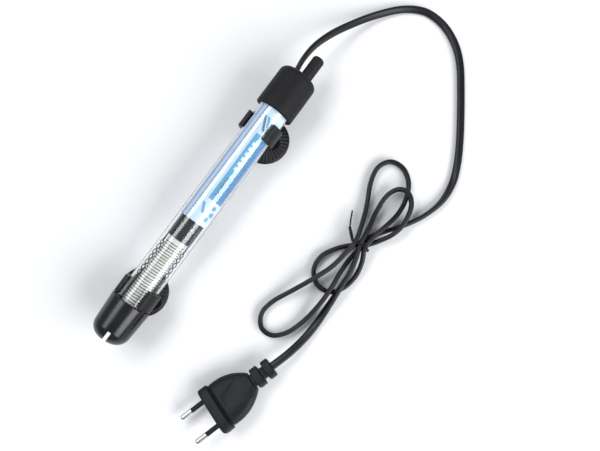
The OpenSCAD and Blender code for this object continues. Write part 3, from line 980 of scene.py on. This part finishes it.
@dataclass
class Element(Assembly):
    """What shows through the glass below the label: former, winding, coils and stopper."""

    start: float = 26.0
    end: float = 79.3
    stopper_start: float = 79.5
    radius: float = 6.6
    pitch: float = 1.9
    bore: float = 1.2
    wire: float = 0.4
    coil_offset: Pair = (7.9, 1.7)
    coil_start: float = 27.0
    coil_end: float = 73.5
    coil_pitch: float = 8.2
    coil_swing: float = 1.08
    strand: float = 0.42
    stopper_radius: float = 8.8
    stopper_length: float = 22.0

    def former(self) -> Shell:
        """A ribbed rod: its radius rises and falls once a pitch, then a plain end and a thin spigot."""
        turns = int((self.end - self.start - 0.6) / self.pitch)
        share = np.array([0.0, 0.10, 0.45, 0.55, 0.62, 0.93])
        lift = np.array([-0.12, 0.0, 0.0, -0.12, -0.5, -0.5])
        a = (self.start + self.pitch * (np.arange(turns)[:, None] + share)).ravel()
        r = self.radius + np.tile(lift, turns)
        last = self.start + turns * self.pitch
        full, end, rear = self.radius, self.end, self.stopper_start
        plain = [(last, full - 0.1), (last + 0.15, full), (end - 0.3, full), (end, full - 0.3)]
        spigot = [(end, 4.1), (end + 0.1, 4.0), (rear, 4.0), (rear, self.bore), (self.start, self.bore)]
        return lathe([(self.start, self.bore), *zip(a.tolist(), r.tolist()), *plain, *spigot], HEATER, 72)

    def winding(self) -> Shell:
        """Fine wire in the grooves: a helix of one turn a pitch."""
        turns = int((self.end - self.start - 0.6) / self.pitch) - 1
        t = np.linspace(0, turns, turns * 40 + 1)
        r = self.radius - 0.3
        a = self.start + self.pitch * (0.775 + t)
        path = HEATER.put(polar(a, r, TAU * t))
        return tube(path, self.wire * MM, np.array([1.0, 0.0, 0.0]), 8)

    def coils(self) -> Shell:
        """On each side two strands wind about each other, half a turn apart, then go on straight."""
        a = np.linspace(self.coil_start, self.coil_end, 260)
        rise, fall = (a - self.coil_start + 0.5) / 2, (self.coil_end + 1.0 - a) / 3
        grip = self.coil_swing * smooth_step(rise) * smooth_step(fall) + 0.02

        def strand(side: int, phase: float) -> Shell:
            """One strand, on a side of the former, which starts at an angle."""
            turn = TAU * (a - self.coil_start) / self.coil_pitch + phase
            b, c = (side * offset for offset in self.coil_offset)
            wound = np.stack([a, b + grip * np.cos(turn), c + grip * np.sin(turn)], -1)
            path = np.concatenate([[[self.start + 0.05, b, c]], wound, [[self.stopper_start - 0.1, b, c]]])
            return tube(HEATER.put(path), self.strand * MM, np.array([0.05, 0.3, 1.0]), 8)

        return joined(strand(side, phase) for side in (-1, 1) for phase in (0.0, math.pi))

    def stopper(self) -> Shell:
        """A black plug with eased edges and a shallow ring round its lower end."""
        s, r, end = self.stopper_start, self.stopper_radius, self.stopper_start + self.stopper_length
        outline = [(s, 0.0), (s, r - 0.5), (s + 0.15, r - 0.15), (s + 0.5, r), (s + 1.8, r), (s + 1.95, r - 0.2),
                   (s + 2.3, r - 0.2), (s + 2.45, r), (end - 0.5, r), (end, r - 0.5), (end, 0.0)]
        return lathe(outline, HEATER, 96)

    def build(self) -> None:
        """Make the four pieces."""
        self.add("ribbed_former", self.former(), Finish.CERAMIC, Body.HEATER, "former_ceramic", ("ceramic_core",))
        self.add("fine_winding", self.winding(), Finish.WIRE, Body.HEATER, "heating_wire")
        self.add("heating_coil_runs", self.coils(), Finish.WIRE, Body.HEATER, "heating_wire", ("heating_coil",), 60.0)
        self.add("stopper_plug", self.stopper(), Finish.STOPPER, Body.HEATER, "stopper", ("element_stopper",))


@dataclass
class GlassAndLabel(Assembly):
    """The glass tube, closed at the guard's end, and the printed film inside it."""

    start: float = 13.0
    end: float = 200.2
    radius: float = 11.0
    wall: float = 1.2
    dome: float = 7.0
    inner_dome: float = 6.0

    def glass(self) -> Shell:
        """Outer wall from the round bottom to the mouth, over its lip, and back down the inner wall."""
        r, inner, s, dome, bend = self.radius, self.radius - self.wall, self.start, self.dome, self.inner_dome
        outer = [(s, 0.0), *arc(s + dome, r - dome, dome, 180, 90, 16)]
        lip = arc(self.end - self.wall / 2, r - self.wall / 2, self.wall / 2, 90, -90, 8)
        bottom = [*arc(s + 1 + bend, inner - bend, bend, 90, 180, 16), (s + 1, 0.0)]
        return lathe(outer + lip + bottom, HEATER, 128)

    def label(self) -> Shell:
        """A thin sleeve whose U runs along it and whose V is half way round at the top."""
        turned = Place(HEATER.origin, (1.0, 0.0, 0.0), (0.0, 0.0, -1.0))
        s, length, r = LABEL_START, LABEL_LENGTH, LABEL_RADIUS
        share = np.linspace(0, 1, 12)
        outline = [(s + length * u, r) for u in share] + [(s + length * u, r - 0.25) for u in share[::-1]] + [(s, r)]
        return lathe(outline, turned, 128, np.concatenate([share, share[::-1], [0.0]]))

    def build(self) -> None:
        """Make the tube and the film."""
        self.add("glass_envelope", self.glass(), Finish.GLASS, Body.HEATER, "tube_glass", ("glass_tube",))
        self.add("label_print", self.label(), Finish.LABEL, Body.HEATER, "label_film", ("label_sleeve",))


@dataclass
class Ends(Assembly):
    """The rubber head cap with its knob, and the slotted guard at the other end."""

    cap_start: float = 186.2
    cap_length: float = 32.3
    cap_radius: float = 14.0
    bore: float = 11.02
    knob_y: float = -3.6
    cord_y: float = 4.5
    knob_radius: float = 4.3
    knob_length: float = 16.75
    guard_radius: float = 14.2
    guard_length: float = 29.0
    guard_taper: float = 1.2
    guard_grip: float = 11.06
    slot_tilt: float = 12.0
    slot_length: float = 8.0
    slot_width: float = 2.4

    def cap(self) -> Piece:
        """A cup of rubber with a soft rim, round shoulders and two holes in its top."""
        s, r = self.cap_start, self.cap_radius
        outline = [(s + 20, 0.0), (s + 20, 9.0), (s + 14.02, 9.0), (s + 14.02, self.bore), (s + 0.35, self.bore),
                   (s, self.bore + 0.35),
                   *arc(s + 0.8, r - 0.8, 0.8, 180, 90, 6), (s + 6.0, r), (s + 14.0, r), (s + 22.0, r - 0.05),
                   *arc(s + self.cap_length - 5.5, r - 4.55, 4.5, 90, 12, 14), (s + self.cap_length, 0.0)]
        piece = self.mesh_object("cap_moulding", lathe(outline, HEATER, 128))
        holes = [(self.knob_y, 2.06), (self.cord_y, 3.0)]
        drills = [lathe([(s + 15, 0), (s + 15, hole), (s + 40, hole), (s + 40, 0)], HEATER.shifted(b=y), 48)
                  for y, hole in holes]
        return self.carve(piece, *drills)

    def knob(self) -> Shell:
        """A stem with a round end and a blind bore; its side has twenty-four very shallow flutes."""
        s, r = self.cap_start + self.cap_length + 0.25, self.knob_radius
        end = s + self.knob_length
        outline = [(s + 9.75, 0.0), (s + 9.75, 2.02), (s, 2.02), (s, r - 0.35), (s + 0.12, r - 0.1), (s + 0.4, r),
                   *[(s + a, r) for a in (3.0, 6.0, 9.0, 12.0)], *arc(end - 2.2, r - 2.2, 2.2, 90, 5, 12), (end, 0.0)]
        a, radius = np.array(outline).T
        t = np.linspace(0, TAU, 144, endpoint=False)
        side = smooth_step((radius - 3.6) / 0.5) * smooth_step((a - s - 0.5) / 1.0) * smooth_step((end - 2.5 - a) / 1.0)
        radii = radius[:, None] - 0.07 * side[:, None] * (0.5 + 0.5 * np.cos(24 * t))[None]
        return grid(HEATER.shifted(b=self.knob_y).put(polar(a[:, None], radii, t)))

    def guard(self) -> Piece:
        """A round-bottomed cup with a thicker collar at its mouth and a slot across its bottom."""
        r, length, grip = self.guard_radius, self.guard_length, self.guard_grip
        tip = r - self.guard_taper
        outline = [(0.0, 0.0), *arc(9.0, tip - 9.0, 9.0, 180, 90, 20), *arc(length - 0.6, r - 0.6, 0.6, 90, 0, 6),
                   *arc(length - 0.4, grip + 0.4, 0.4, 0, -90, 4), (length - 6.0, grip), (length - 8.0, r - 1.6),
                   *arc(8.6, tip - 8.6, 7.0, 90, 180, 16), (1.6, 0.0)]
        piece = self.mesh_object("guard_moulding", lathe(outline, HEATER, 128))
        lean = math.radians(self.slot_tilt)
        tilted = Place(HEATER.origin, HEATER.along, (0.0, math.cos(lean), math.sin(lean)))
        half, reach = self.slot_width / 2, r + 1.8
        return self.carve(piece, box_shell(tilted, (-2.0, -half, -reach), (self.slot_length, half, reach)))

    def build(self) -> None:
        """Make the cap, the knob and the guard."""
        cap = self.dress(self.cap(), Finish.CAP, Body.HEATER, "cap_rubber", ("head_cap",))
        self.round_edges(cap, 0.15)
        self.add("knob_stem", self.knob(), Finish.KNOB, Body.CONTROL, "knob_rubber", ("knob",))
        guard = self.dress(self.guard(), Finish.GUARD, Body.GUARD, "guard_plastic", ("end_guard",))
        self.round_edges(guard, 0.2)


@dataclass
class Holder(Assembly):
    """A spring clip and the suction cup that turns in it.

    Attributes:
        name: "lower" or "upper".
        at: Its place along the heater, from the guard's tip.
        shift: The cup's offset along Y.
        clip_body: The clip's body.
        cup_body: The cup's body.
    """

    name: str
    at: float
    shift: float
    clip_body: Body
    cup_body: Body
    ribs: int = 36

    def cup(self) -> Shell:
        """A flared skirt with fine ribs over its back, a neck, and a head that snaps into the clip.

        The height of the back is the turned outline's height plus 0.35 cos^4 of half the ribs' angle,
        fading out at the rim and at the neck.
        """
        back_r = np.linspace(16.3, 6.2, 22)
        back_z = 1.45 + 4.0 * ((16.3 - back_r) / 10.1) ** 1.15
        face = [(2.3, 0.0), (2.3, 4.0), (2.1, 7.0), (1.5, 10.0), (0.8, 12.6), (0.2, 15.0), (0.0, 15.7), (0.0, 17.0),
                (0.12, 17.2), (0.6, 17.2), (1.1, 16.85)]
        neck = [(6.2, 5.2), (7.5, 4.9), (7.6, 4.7), (7.6, 3.5), (10.3, 3.5)]
        button = [(10.3, 4.3), (10.5, 4.4), (11.0, 4.4), (11.4, 4.0), (11.6, 3.2), (11.6, 1.6), (11.4, 1.4), (9.0, 1.4),
                  (9.0, 0.0)]
        z, r = np.array([*face, *zip(back_z.tolist(), back_r.tolist()), *neck, *button]).T
        t = np.linspace(0, TAU, self.ribs * 8, endpoint=False)
        on_back = np.zeros(len(z))
        on_back[len(face):len(face) + len(back_r)] = 1.0
        fade = on_back * smooth_step((16.4 - r) / 1.5) * smooth_step((r - 6.0) / 1.2)
        height = z[:, None] + 0.35 * fade[:, None] * (np.cos(self.ribs * t / 2) ** 4)[None]
        place = Place((TIP_X + self.at, self.shift, 0.0), (0.0, 0.0, 1.0), (1.0, 0.0, 0.0))
        return grid(place.put(polar(height, r[:, None], t)))

    def build(self) -> None:
        """Make the clip from the part's own shape with its edges rounded, and the cup."""
        node = f"clip_{self.name}"
        clip = self.moulded_copy(node, f"{self.name}_clip_moulding")
        self.dress(clip, Finish.CLIP, self.clip_body, "clip_plastic", (node,))
        self.round_edges(clip, 0.35, 3)
        cup = f"{self.name}_cup_moulding"
        self.add(cup, self.cup(), Finish.CUP, self.cup_body, "cup_rubber", (f"cup_{self.name}",))


class Inside:
    """The part's own nodes that stay, each given its finish."""

    FINISHES: dict[str, Finish] = {
        "tube_seal": Finish.SEAL, "shaft_ring": Finish.SEAL, "cord_gland": Finish.CAP, "end_disc": Finish.CERAMIC,
        "thermostat_frame": Finish.INSULATOR, "fixed_leaf": Finish.BRASS, "fixed_contact": Finish.SILVER,
        "magnet": Finish.IRON, "leads": Finish.LEAD, "knob_shaft": Finish.STEEL, "adjuster_nut": Finish.BRASS,
        "bimetal_blade": Finish.BRASS, "moving_contact": Finish.SILVER,
    }

    def build(self) -> None:
        """Put each finish into its node's material slots."""
        for node, finish in self.FINISHES.items():
            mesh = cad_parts[node].data
            mesh.materials.clear()
            mesh.materials.append(finish.material())
            log.info("%s: %s", node, finish.name.lower())


# ---------------------------------------------------------------- studio


@dataclass(frozen=True)
class Softbox:
    """A long lamp over the heater.

    Attributes:
        name: Its name.
        tilt: Its angle from straight up towards +Y, in degrees.
        distance: From the heater, in metres.
        size: Length along X and width, in metres.
        radiance: Brightness of its face.
    """

    name: str
    tilt: float
    distance: float
    size: Pair
    radiance: float

    def build(self) -> None:
        """Hang the lamp, facing the heater; its watts are radiance times pi times its area."""
        lamp = bpy.data.lights.new(self.name, "AREA")
        lamp.shape, lamp.size, lamp.size_y = "RECTANGLE", *self.size
        lamp.energy = self.radiance * math.pi * self.size[0] * self.size[1]
        lamp.color = (0.97, 0.985, 1.0)
        hung = link(self.name, lamp)
        t = math.radians(self.tilt)
        away = Vector((0.0, math.sin(t), math.cos(t)))
        middle = Vector((0, 0, AXIS_Z * MM))
        hung.matrix_world = looking(away * self.distance + middle, Vector((1.0, 0.0, 0.0)), away)


@dataclass
class Studio:
    """The camera, the lamps, the sky and the floor."""

    target: Triple = (0.01863, -0.05818, 0.0)
    distance: float = 0.42
    turn: float = 35.75
    tilt: float = 6.5
    lens: float = 35.89

    def camera(self) -> None:
        """Look down at the target with the picture's upright turned from +X towards +Y."""
        turn, tilt = math.radians(self.turn), math.radians(self.tilt)
        upright = Vector((math.cos(turn), math.sin(turn), 0.0))
        right = Vector((upright.y, -upright.x, 0.0))
        back = Vector((0, 0, 1)) * math.cos(tilt) - upright * math.sin(tilt)
        data = bpy.data.cameras.new("camera")
        data.lens, data.sensor_width, data.clip_start, data.clip_end = self.lens, 36.0, 0.01, 20.0
        eye = link("camera", data)
        eye.matrix_world = looking(Vector(self.target) + back * self.distance, right, back)
        bpy.context.scene.camera = eye

    def light(self) -> None:
        """Two softboxes over a dim sky."""
        Softbox("right_softbox", 31.0, 1.0, (0.95, 0.42), 4.3).build()
        Softbox("left_softbox", -56.0, 1.0, (0.95, 0.56), 5.6).build()
        world = bpy.data.worlds.new("studio_sky")
        world.use_nodes = True
        colour, strength = world.node_tree.nodes["Background"].inputs[:2]
        colour.default_value, strength.default_value = (0.93, 0.96, 1.0, 1), 0.36
        bpy.context.scene.world = world
        bpy.context.scene.view_settings.view_transform = "Standard"

    def floor(self) -> None:
        """A large flat sheet just under the cups."""
        x, y = np.meshgrid(*[np.linspace(-2.5, 2.5, 9)] * 2, indexing="ij")
        points = np.stack([x, y, np.full_like(x, -0.0003)], -1)
        sheet = Assembly().mesh_object("studio_floor", grid(points, closed=False))
        sheet.data.materials.append(Finish.FLOOR.material())


def main() -> None:
    """Build the studio and every piece, in order."""
    logging.basicConfig(level=logging.INFO, format="%(message)s")
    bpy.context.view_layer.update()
    studio = Studio()
    studio.camera()
    cord = FlatCord()
    jacket = cord.build()
    plug = Plug().build()
    tie = TwistTie().build()
    cord.declare(jacket, [*plug, tie])
    Element().build()
    GlassAndLabel().build()
    Ends().build()
    Holder("lower", 35.9, 2.5, Body.LOWER_CLIP, Body.LOWER_CUP).build()
    Holder("upper", 171.4, -2.5, Body.UPPER_CLIP, Body.UPPER_CUP).build()
    Inside().build()
    studio.light()
    studio.floor()


if __name__ == "__main__":
    main()
